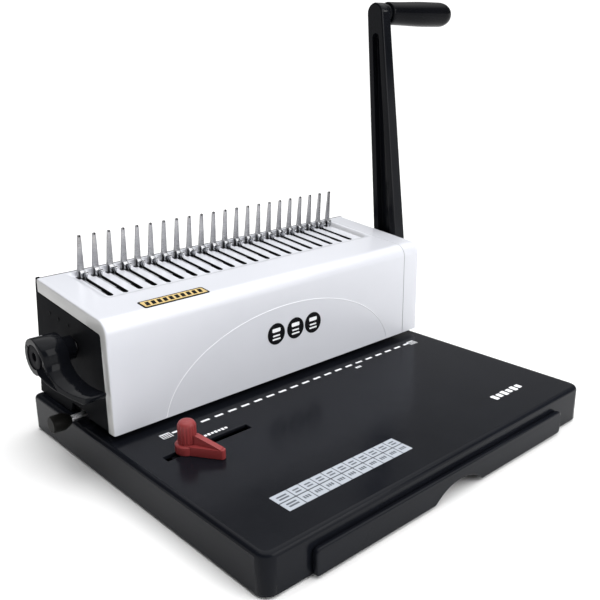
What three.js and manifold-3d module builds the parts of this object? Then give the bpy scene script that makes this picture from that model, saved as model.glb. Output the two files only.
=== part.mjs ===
// Comb binding machine: punch with a chip drawer below, comb opener on top. Millimetres, +Z up.
// Working axes: X along the fingers from the first one, Y towards the back, Z from the base's lower edge.
import * as THREE from 'three';
import { mergeVertices } from 'three/addons/utils/BufferGeometryUtils.js';
import Module from 'manifold-3d';

const wasm = await Module();
wasm.setup();

// ---- driving dimensions ----
const ORIGIN = [190, 4.5, -2]; // working position of the part frame's origin
const PITCH = 14.2875; // comb pitch, 9/16 inch
const FINGERS = 22;
const SLOTS = 21;
const GAP = 0.3; // between fixed pieces that touch

const BASE = {
  x0: -45, x1: 332.9, y0: -157.8, y1: 172, top: 32.1, wall: 3.2, frontR: 10, rearR: 6, edge: 4,
};
const FLOOR_PLATE = { z0: 0.3, z1: 1.8 };
const FOOT = { r: 9, h: 2, inX: 35.3, inY: 37.2 };
const DRAWER = { x0: -5.5, x1: 292, face: -163, top: 21 };
const BIN = { x0: 0, x1: 286.5, y1: 94, z0: 2.5, z1: 18.2, wall: 1.8 };
const BAY = { x0: -1, x1: 287.5, z0: 2.2, z1: 19.2, deep: 8 }; // the drawer's way through the front wall
const RAIL = { left: -3.2, right: 287.7, t: 2, y0: -140, y1: 100, z0: 2.2, z1: 16 };
const PULL = { x: 146.95, half: 30, h: 12, deep: 34, r: 14 }; // finger pull under the drawer front
const DIE = { x0: 0, x1: 302.4, y: 80, half: 8, deep: 6.4 };
const HOLE = { x0: 9.5, w: 8, d: 3, play: 0.25 };
const GAUGE = { x0: -22.5, x1: 58.5, y: -12.9, half: 4.1, x: -1.7 };

const SHELL = { x0: -37.3, x1: 307.6, y0: 36.4, y1: 152, z0: 37.4, wall: 3, r: 12, rimX: 6 };
const CAP = { x0: 307.9, x1: 332.4 };
const RIM = { front: 9.5, top: 12 };
const DECK = { y: 150, z: 143.2, tilt: Math.atan(0.1) }; // a point on the deck, and its slope
const PAN = { x0: -8, x1: 304.5, rear: -2.2, flat: -60, front: -70.5, deep: 4.4, under: 7.4 };
const SLOT = { s0: -57, s1: -7.6, w: 5.4, dx: 1.25 };
const FOOT_HOLE = { half: 4.4, s0: -9, s1: -4.1 };
const FINGER = { s: -5.365, tip: 35.3, wBase: 6.8, wTip: 3.4, t: 1.5 };
const PLATE = { s0: -43, s1: -8.4, top: -7.8, low: -9.3 };

const FRAME = { left: -30.5, right: 303, t: 3, y0: 50, y1: 149, z0: 38, under: 8.6 };
const INNER = { x0: FRAME.left + FRAME.t + GAP, x1: FRAME.right - GAP }; // room between the side frames
const OPENER = { y: 93.5, z: 98, r: 5 };
const OPENER_SHAFT = { x0: -57.6, len: 364, end: 0.6 };
const GEAR = { pitchR: 20, teeth: 20, add: 2, ded: 2.4, w: 6, left: -20, right: 290 };
const LEVER = { in: -39, hubX: -72, hubIn: -50, tipX: -57, hubR: 15.5, neckR: 10, tipY: 41 };
const PUNCH = { y: 82.6, z: 66, r: 5, barTop: 58.6, barLow: 51.3, pinLow: 38.1, back: 83.5 };
const PUNCH_SHAFT = { x0: -26.5, len: 371, end: 0.6 };
const GUIDE = { y0: 58, y1: 85.2, t: 4 };
const STROKE = 9.5;
const SWING = 85 * Math.PI / 180;
const CAM = { play: 0.4, w: 10, left: 24, right: 262 };
const SPRING = { r: 3.6, wire: 0.5, turns: 4.5, y: 66.5, left: 60, right: 236, top: 56, pad: 5 };
const ARM = { x0: 333.6, lowX: 349.6, topX: 346.6, lean: 5.1 * Math.PI / 180, len: 297, hubR: 19, groove: 7 };
const GRIP = { x0: 352, x1: 452, r0: 11.5, r1: 13, bore: 4.2, spindle: 4 };
const MARGIN = { y: 89, z: 38, r: 3, knobX0: -66, knobX1: -49, room: 3.6 };

// ---- outlines ----
const arc = (cx, cy, r, from, to, n) => Array.from({ length: n + 1 }, (_, i) => {
  const a = from + (to - from) * i / n;
  return [cx + r * Math.cos(a), cy + r * Math.sin(a)];
});
const circle = (cx, cy, r, n = 24) => arc(cx, cy, r, 0, 2 * Math.PI * (n - 1) / n, n - 1);
const rect = (x0, y0, x1, y1) => [[x0, y0], [x1, y0], [x1, y1], [x0, y1]];

// Corners given as [x, y, radius]; each is rounded with n steps.
function rounded(corners, n = 4) {
  const out = [];
  corners.forEach(([x, y, r = 0], i) => {
    if (r === 0) {
      out.push([x, y]);
      return;
    }
    const p = new THREE.Vector2(x, y);
    const before = corners[(i + corners.length - 1) % corners.length];
    const after = corners[(i + 1) % corners.length];
    const u = new THREE.Vector2(before[0], before[1]).sub(p).normalize();
    const v = new THREE.Vector2(after[0], after[1]).sub(p).normalize();
    const half = Math.acos(u.dot(v)) / 2;
    const c = p.clone().addScaledVector(u.clone().add(v).normalize(), r / Math.sin(half));
    const a = p.clone().addScaledVector(u, r / Math.tan(half)).sub(c);
    const b = p.clone().addScaledVector(v, r / Math.tan(half)).sub(c);
    const from = Math.atan2(a.y, a.x);
    let turn = Math.atan2(b.y, b.x) - from;
    turn -= 2 * Math.PI * Math.round(turn / (2 * Math.PI));
    out.push(...arc(c.x, c.y, r, from, from + turn, n));
  });
  return out;
}

// ---- solids ----
function solid(geometry) {
  const g = geometry.clone();
  g.deleteAttribute('normal');
  g.deleteAttribute('uv');
  const m = mergeVertices(g, 1e-4);
  const p = m.attributes.position;
  const tri = [];
  let volume = 0;
  for (let i = 0; i < m.index.count; i += 3) {
    const t = [m.index.getX(i), m.index.getX(i + 1), m.index.getX(i + 2)];
    if (t[0] === t[1] || t[1] === t[2] || t[0] === t[2]) continue;
    const [a, b, c] = t.map((k) => new THREE.Vector3().fromBufferAttribute(p, k));
    volume += a.dot(b.cross(c));
    tri.push(...t);
  }
  if (volume < 0) tri.reverse();
  return new wasm.Manifold(new wasm.Mesh({
    numProp: 3,
    vertProperties: new Float32Array(p.array),
    triVerts: new Uint32Array(tri),
  }));
}

function extruded(outline, depth, bevel = 0, holes = [], steps = 2) {
  const shape = new THREE.Shape(outline.map(([x, y]) => new THREE.Vector2(x, y)));
  holes.forEach((h) => shape.holes.push(new THREE.Path(h.map(([x, y]) => new THREE.Vector2(x, y)))));
  const g = new THREE.ExtrudeGeometry(shape, {
    depth: depth - 2 * bevel,
    bevelEnabled: bevel > 0,
    bevelThickness: bevel,
    bevelSize: bevel,
    bevelOffset: -bevel,
    bevelSegments: steps,
  });
  g.translate(0, 0, bevel);
  return g;
}

const AXIS = { X: new THREE.Vector3(1, 0, 0), Y: new THREE.Vector3(0, 1, 0), Z: new THREE.Vector3(0, 0, 1) };
const TO_X = new THREE.Matrix4().makeBasis(AXIS.Y, AXIS.Z, AXIS.X);
const TO_Y = new THREE.Matrix4().makeBasis(AXIS.X, AXIS.Z, AXIS.Y.clone().negate());

// Outlines are (Y, Z) for alongX, (X, Z) for alongY and (X, Y) for alongZ.
function alongX(outline, x0, x1, bevel = 0, holes = [], steps = 2) {
  return solid(extruded(outline, x1 - x0, bevel, holes, steps).applyMatrix4(TO_X).translate(x0, 0, 0));
}
function alongY(outline, y0, y1, bevel = 0, holes = [], steps = 2) {
  return solid(extruded(outline, y1 - y0, bevel, holes, steps).applyMatrix4(TO_Y).translate(0, y1, 0));
}
function alongZ(outline, z0, z1, bevel = 0, holes = [], steps = 2) {
  return solid(extruded(outline, z1 - z0, bevel, holes, steps).translate(0, 0, z0));
}
const block = (x0, x1, y0, y1, z0, z1) => alongZ(rect(x0, y0, x1, y1), z0, z1);

// Profile points are (radius, distance along the axis), the axis starting at the given place.
function turnedX(profile, x, y, z, n = 24) {
  const g = new THREE.LatheGeometry(profile.map(([r, d]) => new THREE.Vector2(r, d)), n);
  return solid(g.rotateZ(-Math.PI / 2).translate(x, y, z));
}
function turnedZ(profile, x, y, z, n = 24) {
  const g = new THREE.LatheGeometry(profile.map(([r, d]) => new THREE.Vector2(r, d)), n);
  return solid(g.rotateX(Math.PI / 2).translate(x, y, z));
}
const join = (list) => list.reduce((a, b) => a.add(b));
const cut = (body, list) => list.reduce((a, b) => a.subtract(b), body);

// A sloped frame: local X, s towards the back along the deck, n square to it.
function sloped(body, y, z) {
  return body.rotate([DECK.tilt * 180 / Math.PI, 0, 0]).translate([0, y, z]);
}
const onDeck = (body) => sloped(body, DECK.y, DECK.z);
const atOpener = (body) => sloped(body, OPENER.y, OPENER.z);
const deckZ = (y) => DECK.z + Math.tan(DECK.tilt) * (y - DECK.y);

// ---- materials ----
const FINISH = {
  shell: ['#eceef2', 0.28, 0],
  tray: ['#0b0c10', 0.3, 0],
  dark: ['#17181a', 0.5, 0],
  knob: ['#241f1e', 0.5, 0],
  red: ['#8f2a2c', 0.45, 0],
  steel: ['#9a9c9e', 0.35, 1],
  nickel: ['#b9b8b2', 0.28, 1],
  rubber: ['#101010', 0.9, 0],
};
const group = new THREE.Group();
group.name = 'comb_binding_machine';

function place(name, body, finish) {
  const mesh = body.translate(ORIGIN.map((v) => -v)).getMesh();
  const g = new THREE.BufferGeometry();
  g.setAttribute('position', new THREE.BufferAttribute(new Float32Array(mesh.vertProperties), 3));
  g.setIndex(new THREE.BufferAttribute(new Uint32Array(mesh.triVerts), 1));
  g.computeVertexNormals();
  const [color, roughness, metalness] = FINISH[finish];
  const node = new THREE.Mesh(g, new THREE.MeshStandardMaterial({ color, roughness, metalness }));
  node.name = name;
  group.add(node);
}

// ---- base, drawer and feet ----
function baseOutline(inset) {
  const front = BASE.frontR - inset;
  const rear = BASE.rearR - inset;
  return rounded([
    [BASE.x0 + inset, BASE.y0 + inset, front],
    [BASE.x1 - inset, BASE.y0 + inset, front],
    [BASE.x1 - inset, BASE.y1 - inset, rear],
    [BASE.x0 + inset, BASE.y1 - inset, rear],
  ], 5);
}
function baseTray() {
  const outer = alongZ(baseOutline(0), -20, BASE.top, BASE.edge, [], 4);
  const inside = alongZ(baseOutline(BASE.wall), -1, BASE.top - BASE.wall);
  const bay = block(BAY.x0, BAY.x1, BASE.y0 - 1, BASE.y0 + BAY.deep, BAY.z0, BAY.z1);
  const gauge = block(GAUGE.x0, GAUGE.x1, GAUGE.y - GAUGE.half, GAUGE.y + GAUGE.half, 20, 40);
  const d = DIE.half + GAP;
  const die = block(DIE.x0 - GAP, DIE.x1 + GAP, DIE.y - d, DIE.y + d, 20, 40);
  const below = block(-60, 350, -170, 190, -30, 0);
  return cut(outer, [below, inside, bay, gauge, die, pullSpace(2, -1, 3)]);
}
// The room for a finger behind the drawer front's notch, grown sideways and to the back.
function pullSpace(grow, z0, z1) {
  const x = PULL.half + grow;
  const back = BASE.y0 + PULL.deep + grow;
  return alongZ(rounded([
    [PULL.x - x, BASE.y0 - 1], [PULL.x + x, BASE.y0 - 1],
    [PULL.x + x, back, PULL.r], [PULL.x - x, back, PULL.r],
  ], 6), z0, z1);
}
function bottomPlate() {
  const { z0, z1 } = FLOOR_PLATE;
  return alongZ(baseOutline(BASE.wall + GAP), z0, z1).subtract(pullSpace(2, -1, z1 + 1));
}
function foot(right, back) {
  const x = right ? BASE.x1 - FOOT.inX : BASE.x0 + FOOT.inX;
  const y = back ? BASE.y1 - FOOT.inY : BASE.y0 + FOOT.inY;
  return turnedZ([[0, -FOOT.h], [FOOT.r - 1, -FOOT.h], [FOOT.r, -FOOT.h + 0.6], [FOOT.r, 0], [0, 0]], x, y, 0);
}
function drawerBin() {
  const t = BIN.wall;
  const roof = PULL.h + 1;
  const outer = block(BIN.x0, BIN.x1, BASE.y0, BIN.y1, BIN.z0, BIN.z1);
  const hollow = block(BIN.x0 + t, BIN.x1 - t, BASE.y0 + t, BIN.y1 - t, BIN.z0 + t, BIN.z1 + 9);
  const cove = pullSpace(t, BIN.z0, roof + t).intersect(outer);
  return outer.subtract(hollow).add(cove).subtract(pullSpace(0, 0, roof));
}
function drawerFront() {
  const r = (PULL.half ** 2 + PULL.h ** 2) / (2 * PULL.h);
  const a = Math.asin(PULL.half / r);
  const pull = arc(PULL.x, PULL.h - r, r, Math.PI / 2 + a, Math.PI / 2 - a, 12);
  const outline = rounded([
    [DRAWER.x0, 0, 3], [DRAWER.x0, DRAWER.top, 4], [DRAWER.x1, DRAWER.top, 4], [DRAWER.x1, 0, 3],
  ]);
  const panel = alongY(outline, DRAWER.face, BASE.y0 - 0.4, 1.2);
  const below = [[PULL.x + PULL.half, -5], [PULL.x - PULL.half, -5]];
  return panel.subtract(alongY([...below, ...pull], DRAWER.face - 2, BASE.y0 + 1));
}
function drawerRail(x) {
  return block(x, x + RAIL.t, RAIL.y0, RAIL.y1, RAIL.z0, RAIL.z1);
}

// ---- punch ----
function holes(z0, z1) {
  const list = [];
  for (let k = 0; k < SLOTS; k += 1) {
    const x = HOLE.x0 + k * PITCH;
    const w = HOLE.w / 2 + HOLE.play;
    const d = HOLE.d / 2 + HOLE.play;
    list.push(block(x - w, x + w, DIE.y - d, DIE.y + d, z0, z1));
  }
  return list;
}
function lowerDie() {
  const body = block(DIE.x0, DIE.x1, DIE.y - DIE.half, DIE.y + DIE.half, BASE.top - DIE.deep, BASE.top - 0.1);
  return cut(body, holes(20, 40));
}
function punchGuide() {
  const body = block(INNER.x0, INNER.x1, GUIDE.y0, GUIDE.y1, SHELL.z0, SHELL.z0 + GUIDE.t);
  return cut(body, holes(30, 50));
}
function punchBar() {
  const parts = [block(3, 302, DIE.y - 3, PUNCH.back, PUNCH.barLow, PUNCH.barTop - 2)];
  for (let k = 0; k < SLOTS; k += 1) {
    const x = HOLE.x0 + k * PITCH;
    const w = HOLE.w / 2;
    const d = HOLE.d / 2;
    parts.push(block(x - w, x + w, DIE.y - d, DIE.y + d, PUNCH.pinLow, PUNCH.barLow + 1));
  }
  for (const x of [CAM.left, CAM.right]) {
    parts.push(block(x - 1, x + CAM.w + 1, DIE.y - 7, PUNCH.back, PUNCH.barLow + 2, PUNCH.barTop));
  }
  for (const x of [SPRING.left, SPRING.right]) {
    const { pad, top, y } = SPRING;
    parts.push(block(x - pad, x + pad, y - pad, DIE.y - 2, top, PUNCH.barTop));
  }
  return join(parts);
}
// A round shaft with a small bevel at each end.
function shaft(r, x0, len, end, y, z) {
  return turnedX([[0, 0], [r - end, 0], [r, end], [r, len - end], [r - end, len], [0, len]], x0, y, z);
}
function punchShaft() {
  return shaft(PUNCH.r, PUNCH_SHAFT.x0, PUNCH_SHAFT.len, PUNCH_SHAFT.end, PUNCH.y, PUNCH.z);
}
// Flat-follower cam: the lift grows evenly with the handle's turn.
function punchCam(x) {
  const low = PUNCH.z - PUNCH.barTop - CAM.play;
  const rate = STROKE / SWING;
  const steps = 14;
  const outline = arc(0, 0, low, -Math.PI / 2, Math.PI * 0.62, 12);
  for (let i = steps; i >= 0; i -= 1) {
    const turn = (SWING + 0.05) * i / steps;
    const a = -Math.PI / 2 - turn;
    const lift = low + rate * turn;
    outline.push([lift * Math.cos(a) + rate * Math.sin(a), lift * Math.sin(a) - rate * Math.cos(a)]);
  }
  const body = alongX(outline.map(([y, z]) => [y + PUNCH.y, z + PUNCH.z]), x, x + CAM.w);
  return body.subtract(alongX(circle(PUNCH.y, PUNCH.z, PUNCH.r + 0.1), x - 1, x + CAM.w + 1));
}
function returnSpring(x) {
  const low = SHELL.z0 + GUIDE.t + GAP + SPRING.wire;
  const high = SPRING.top - GAP - SPRING.wire;
  const around = 11;
  const sides = 5;
  const count = Math.round(SPRING.turns * around);
  const at = [];
  const index = [];
  for (let i = 0; i <= count; i += 1) {
    const a = 2 * Math.PI * i / around;
    for (let j = 0; j < sides; j += 1) {
      const b = 2 * Math.PI * j / sides;
      const r = SPRING.r + SPRING.wire * Math.cos(b);
      const z = low + (high - low) * i / count + SPRING.wire * Math.sin(b);
      at.push(x + r * Math.cos(a), SPRING.y + r * Math.sin(a), z);
      if (i === count) continue;
      const p = i * sides + j;
      const q = i * sides + (j + 1) % sides;
      index.push(p, p + sides, q, q, p + sides, q + sides);
    }
  }
  for (let j = 1; j < sides - 1; j += 1) {
    index.push(0, j, j + 1, count * sides, count * sides + j + 1, count * sides + j);
  }
  const g = new THREE.BufferGeometry();
  g.setAttribute('position', new THREE.Float32BufferAttribute(at, 3));
  g.setIndex(index);
  return solid(g);
}
function sideFrame(x) {
  const top = (y) => deckZ(y) - FRAME.under;
  const foot = BASE.top + 0.4;
  const { room, y, z } = MARGIN;
  const outline = [
    [FRAME.y0, FRAME.z0], [y - room, FRAME.z0], [y - room, z + room], [y + room, z + room], [y + room, foot],
    [FRAME.y1, foot], [FRAME.y1, top(FRAME.y1)], [FRAME.y0, top(FRAME.y0)],
  ];
  const bores = [
    circle(OPENER.y, OPENER.z, OPENER.r + 0.15),
    circle(PUNCH.y, PUNCH.z, PUNCH.r + 0.15),
  ];
  return alongX(outline, x, x + FRAME.t, 0, bores);
}
function marginShaft() {
  const r = MARGIN.r;
  return turnedX([[0, 0], [r, 0], [r, 22], [0, 22]], MARGIN.knobX1 + 0.4, MARGIN.y, MARGIN.z, 16);
}
function depthStop() {
  const bar = arc(0, 0, MARGIN.r, -Math.PI * 0.33, Math.PI * 1.33, 14);
  const outline = bar.map(([a, b]) => [MARGIN.y + b, MARGIN.z - a]);
  return alongX(outline, MARGIN.knobX1 + 22.7, 301);
}
function marginKnob() {
  const profile = [[0, 0], [6.6, 0], [7.4, 0.8], [7.4, 10.5], [6.8, 12], [5, 16], [4.4, 17], [0, 17]];
  return turnedX(profile, MARGIN.knobX0, MARGIN.y, MARGIN.z, 20);
}

// ---- housing ----
function shellOutline(inset, z0 = SHELL.z0) {
  const t = DECK.tilt;
  const y0 = SHELL.y0 + inset;
  const y1 = SHELL.y1 + (inset > 0 ? 20 : 0);
  const top = (y) => deckZ(y) - inset / Math.cos(t);
  return rounded([
    [y0, z0], [y1, z0], [y1, top(y1)], [y0, top(y0), Math.max(SHELL.r - inset, 2)],
  ], 6);
}
function deckRecess() {
  const outline = [
    [PAN.front, 0.1], [PAN.front, 0], [PAN.flat, -PAN.deep], [PAN.rear, -PAN.deep], [PAN.rear, 9], [PAN.front, 9],
  ];
  return onDeck(alongX(outline, PAN.x0, PAN.x1));
}
function deckPan() {
  const outline = [[PAN.front, -1], [-1.2, -1], [-1.2, -PAN.under], [PAN.flat - 4, -PAN.under], [PAN.front, -4]];
  return onDeck(alongX(outline, PAN.x0 - 2.5, PAN.x1 + 2.5));
}
function deckSlots() {
  const list = [];
  for (let i = 0; i < SLOTS; i += 1) {
    const x = i * PITCH + SLOT.dx;
    const h = SLOT.w / 2;
    const ends = [
      ...arc(x, SLOT.s0 + h, h, Math.PI, 2 * Math.PI, 5),
      ...arc(x, SLOT.s1 - h, h, 0, Math.PI, 5),
    ];
    list.push(onDeck(alongZ(ends, -12, 4)));
  }
  for (let i = 0; i < FINGERS; i += 1) {
    const x = i * PITCH;
    list.push(onDeck(block(x - FOOT_HOLE.half, x + FOOT_HOLE.half, FOOT_HOLE.s0, FOOT_HOLE.s1, -12, 4)));
  }
  return list;
}
function topCover() {
  const outer = alongX(shellOutline(0), SHELL.x0, SHELL.x1 + 30, 2, [], 3);
  const skirt = alongX(shellOutline(0), SHELL.x0 + 4, SHELL.x1);
  const trimmed = outer.intersect(block(-60, SHELL.x1, 0, 200, 0, 200)).add(skirt);
  const hollow = alongX(shellOutline(SHELL.wall, 30), SHELL.x0 + SHELL.rimX, SHELL.x1 + 1);
  const mouth = alongX([
    [SHELL.y0 + RIM.front, 30], [180, 30], [180, deckZ(180) - RIM.top],
    [SHELL.y0 + RIM.front, deckZ(SHELL.y0 + RIM.front) - RIM.top],
  ], SHELL.x0 - 1, SHELL.x0 + SHELL.rimX + 1);
  const body = cut(trimmed, [hollow, mouth]).add(deckPan());
  return cut(body, [deckRecess(), ...deckSlots()]);
}
function rightEndCap() {
  const outer = alongX(shellOutline(0), CAP.x0 - 20, CAP.x1, 5, [], 4);
  const hollow = alongX(shellOutline(SHELL.wall, 30), CAP.x0 - 1, CAP.x1 - 3);
  const bore = alongX(circle(PUNCH.y, PUNCH.z, PUNCH.r + 1), CAP.x1 - 5, CAP.x1 + 1);
  return cut(outer.intersect(block(CAP.x0, 400, 0, 200, 0, 200)), [hollow, bore]);
}
function leftEndCover() {
  const y0 = SHELL.y0 + RIM.front + 0.4;
  const top = (y) => deckZ(y) - RIM.top - 0.4;
  const outline = rounded([
    [y0, 37.6, 1], [80, 37.6, 1], [84, 42.2, 2], [108, 42.2, 3], [112, 32.6], [171.6, 32.6],
    [163.6, 84.8], [156.8, 138.4], [155.4, 144, 1.2], [152.4, 144.6], [152.4, top(152.4)], [y0, top(y0), 2],
  ]);
  const bores = [circle(OPENER.y, OPENER.z, OPENER.r + 0.6)];
  return alongX(outline, SHELL.x0 + 0.5, SHELL.x0 + 3.5, 0, bores);
}
function rearCover() {
  const outer = [[152.4, 32.6], [171.9, 32.6], [163.9, 84.8], [157.1, 138.4], [155.8, 143], [152.4, 143]];
  const inner = [[140, 20], [171.5, 20], [161.5, 84.4], [155, 133], [140, 133]];
  const left = SHELL.x0 + 3.9;
  return alongX(outer, left, CAP.x1 - 0.6).subtract(alongX(inner, left - 1, CAP.x1 - 3.2));
}

// ---- comb opener ----
function fingerComb() {
  const parts = [onDeck(block(INNER.x0, INNER.x1, FINGER.s - 1.4, FINGER.s + 1.4, -10.5, -7.7))];
  for (let i = 0; i < FINGERS; i += 1) {
    const x = i * PITCH;
    const w = FINGER.wBase / 2;
    const tip = FINGER.wTip / 2;
    const outline = [
      [x - w, -8.5], [x + w, -8.5], [x + w, 0], [x + tip, FINGER.tip - 2], [x + tip - 0.8, FINGER.tip],
      [x - tip + 0.8, FINGER.tip], [x - tip, FINGER.tip - 2], [x - w, 0],
    ];
    const half = FINGER.t / 2;
    parts.push(onDeck(alongY(outline, FINGER.s - half, FINGER.s + half)));
  }
  return join(parts);
}
function hookComb() {
  const parts = [block(-6, 301, PLATE.s0, PLATE.s1, PLATE.low, PLATE.top)];
  for (let i = 0; i < SLOTS; i += 1) {
    const x = i * PITCH + SLOT.dx;
    parts.push(alongX([
      [-10.9, PLATE.top - 0.5], [-10.9, 2], [-15.4, 2], [-15.4, 0.8], [-12.4, 0.8], [-12.4, PLATE.top - 0.5],
    ], x - 0.8, x + 0.8));
  }
  return onDeck(join(parts));
}
function rackArm(x, side) {
  const step = 2 * Math.PI * GEAR.pitchR / GEAR.teeth;
  const root = -GEAR.pitchR - GEAR.ded;
  const tip = -GEAR.pitchR + GEAR.add;
  const teeth = [];
  for (let k = -1; k <= 8; k += 1) {
    teeth.push([k * step - 2.05, root], [k * step - 0.5, tip], [k * step + 0.5, tip], [k * step + 2.05, root]);
  }
  const rack = [[-8.4, -25], [60.3, -25], [60.3, root], ...teeth.reverse(), [-8.4, root]];
  const legX = side > 0 ? x + GEAR.w + 1.5 : x - 4.5;
  const bridgeX = side > 0 ? x : x - 4.5;
  const linkX = side > 0 ? legX : legX - 8.5;
  const parts = [
    alongX(rack, x, x + GEAR.w),
    block(bridgeX, bridgeX + GEAR.w + 4.5, 55, 60.3, -25, root),
    block(legX, legX + 3, 57.3, 60.3, -24, 28.4),
    block(linkX, linkX + 11.5, 38, 60.3, 26.7, 28.4),
    block(linkX, linkX + 11.5, 38, 52, 28, 29.7),
  ];
  return atOpener(join(parts));
}
function pinion(x) {
  const n = GEAR.teeth;
  const start = -Math.PI / 2 + DECK.tilt + Math.PI / n;
  const outline = [];
  for (let k = 0; k < n; k += 1) {
    const a = start + 2 * Math.PI * k / n;
    for (const [r, half] of [[17.4, 1.9], [20, 1.2], [22, 0.45]]) outline.push([r, a - half / r]);
    for (const [r, half] of [[22, 0.45], [20, 1.2], [17.4, 1.9]]) outline.push([r, a + half / r]);
  }
  const points = outline.map(([r, a]) => [OPENER.y + r * Math.cos(a), OPENER.z + r * Math.sin(a)]);
  return alongX(points, x, x + GEAR.w, 0, [circle(OPENER.y, OPENER.z, OPENER.r + 0.1)]);
}
function openerShaft() {
  return shaft(OPENER.r, OPENER_SHAFT.x0, OPENER_SHAFT.len, OPENER_SHAFT.end, OPENER.y, OPENER.z);
}
function combLever() {
  const outline = rounded([
    [41.8, 69, 3], [56.4, 71.5, 40], [72, 75.2, 40], [79.6, 78.9, 20],
    ...arc(OPENER.y, OPENER.z, LEVER.hubR, -2, 3.3, 16),
    [76.3, 90, 8], [71.6, 83.7, 12], [65.6, 79.5, 20], [58.1, 76.8, 20], [49.7, 75.3, 20], [39.4, 75.2, 1.4],
  ], 3);
  const depth = LEVER.in - LEVER.hubX;
  const g = extruded(outline, depth, 0.8, [], 2).applyMatrix4(TO_X);
  const p = g.attributes.position;
  for (let i = 0; i < p.count; i += 1) {
    const t = THREE.MathUtils.clamp((p.getY(i) - LEVER.tipY) / (OPENER.y - 8 - LEVER.tipY), 0, 1);
    const outer = THREE.MathUtils.lerp(LEVER.tipX, LEVER.hubX, t);
    const inner = THREE.MathUtils.lerp(LEVER.in, LEVER.hubIn, t);
    p.setX(i, outer + p.getX(i) * (inner - outer) / depth);
  }
  const c = [OPENER.y, OPENER.z];
  const neck = alongX(circle(...c, LEVER.neckR), LEVER.hubIn - 2, LEVER.in);
  const dish = alongX(circle(...c, 10.4, 28), -80, LEVER.hubX + 1.8);
  const bore = alongX(circle(...c, OPENER.r + 0.1), -58, -30);
  const eye = alongX(circle(...c, 3.7, 20), -80, -50);
  return cut(solid(g).add(neck), [dish, bore, eye]);
}
function leverScrew() {
  return alongX(circle(OPENER.y, OPENER.z, 3.3, 20), -66, -58, 0.5);
}

// ---- punch handle ----
function handleArm() {
  const c = Math.cos(ARM.lean);
  const s = Math.sin(ARM.lean);
  const up = (a, b) => [PUNCH.y + b * s + a * c, PUNCH.z + b * c - a * s];
  const outline = [];
  outline.push(...arc(0, 0, ARM.hubR, Math.PI * 0.87, Math.PI * 2.13, 16));
  outline.push(...arc(0, ARM.len, 10.5, 0, Math.PI, 10));
  const groove = [
    ...arc(0, ARM.len - 24, 4.5, 0, Math.PI, 8), ...arc(0, 62, 8.5, Math.PI, 2 * Math.PI, 8),
  ];
  const tilt = (list) => list.map(([a, b]) => up(a, b));
  const body = extruded(tilt(outline), ARM.lowX - ARM.x0, 1.8, [], 2).applyMatrix4(TO_X).translate(ARM.x0, 0, 0);
  const p = body.attributes.position;
  for (let i = 0; i < p.count; i += 1) {
    const t = THREE.MathUtils.clamp((p.getZ(i) - PUNCH.z) / ARM.len, 0, 1);
    const squeeze = THREE.MathUtils.lerp(1, (ARM.topX - ARM.x0) / (ARM.lowX - ARM.x0), t);
    p.setX(i, ARM.x0 + (p.getX(i) - ARM.x0) * squeeze);
  }
  const bore = alongX(circle(PUNCH.y, PUNCH.z, PUNCH.r + 0.1), 320, ARM.lowX - 4.6);
  return cut(solid(body), [alongX(tilt(groove), 320, ARM.x0 + ARM.groove), bore]);
}
const gripAxis = [PUNCH.y + ARM.len * Math.sin(ARM.lean), PUNCH.z + ARM.len * Math.cos(ARM.lean)];
function gripSpindle() {
  const r = GRIP.spindle;
  const profile = [[0, 0], [8, 0], [9.4, 1], [9.4, 4.6], [8.6, 5], [r, 5], [r, 88], [0, 88]];
  return turnedX(profile, ARM.topX + 0.3, ...gripAxis);
}
function handleGrip() {
  const len = GRIP.x1 - GRIP.x0;
  const profile = [
    [GRIP.bore, 0], [GRIP.r0 - 1, 0], [GRIP.r0, 1.2], [GRIP.r1, len * 0.6], [GRIP.r1, len - 9],
    [GRIP.r1 - 1.2, len - 4.5], [GRIP.r1 - 4.4, len - 1.2], [6, len], [0, len], [0, len - 8],
    [GRIP.bore, len - 8], [GRIP.bore, 0],
  ];
  return turnedX(profile, GRIP.x0, ...gripAxis, 28);
}

// ---- paper side guide ----
function guideSlider() {
  const plate = block(GAUGE.x - 13, GAUGE.x + 13, GAUGE.y - 8, GAUGE.y + 8, 24.5, 28.5);
  const neck = turnedZ([[0, 0], [3.6, 0], [3.6, 5], [2.5, 5], [2.5, 20], [0, 20]], GAUGE.x, GAUGE.y, 27.2, 16);
  return plate.add(neck);
}
function guideArm() {
  const lean = 22.6 * Math.PI / 180; // the pointer looks to the front, a little to the right
  const base = turnedZ([[0, 0], [10, 0], [10, 6.2], [9.2, 7], [0, 7]], 0, 0, 0, 28);
  const arm = alongZ(rounded([[-7.4, -1, 0], [-7.2, -8, 0], [-2.4, -33.4, 2], [2.4, -33.4, 2], [7.2, -8, 0],
    [7.4, -1, 0]]), 0, 7.4);
  const ridge = alongX([[-2, 0.5], [-2, 15], [-9, 15], [-31, 8], [-31, 0.5]], -2.6, 2.6);
  const bore = alongZ(circle(0, 0, 2.7, 16), -1, 30);
  const body = join([base, arm, ridge]).subtract(alongZ(circle(0, 0, 7.9, 28), 7.2, 30)).subtract(bore);
  return body.rotate([0, 0, lean * 180 / Math.PI]).translate([GAUGE.x, GAUGE.y, BASE.top + 0.4]);
}
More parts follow.
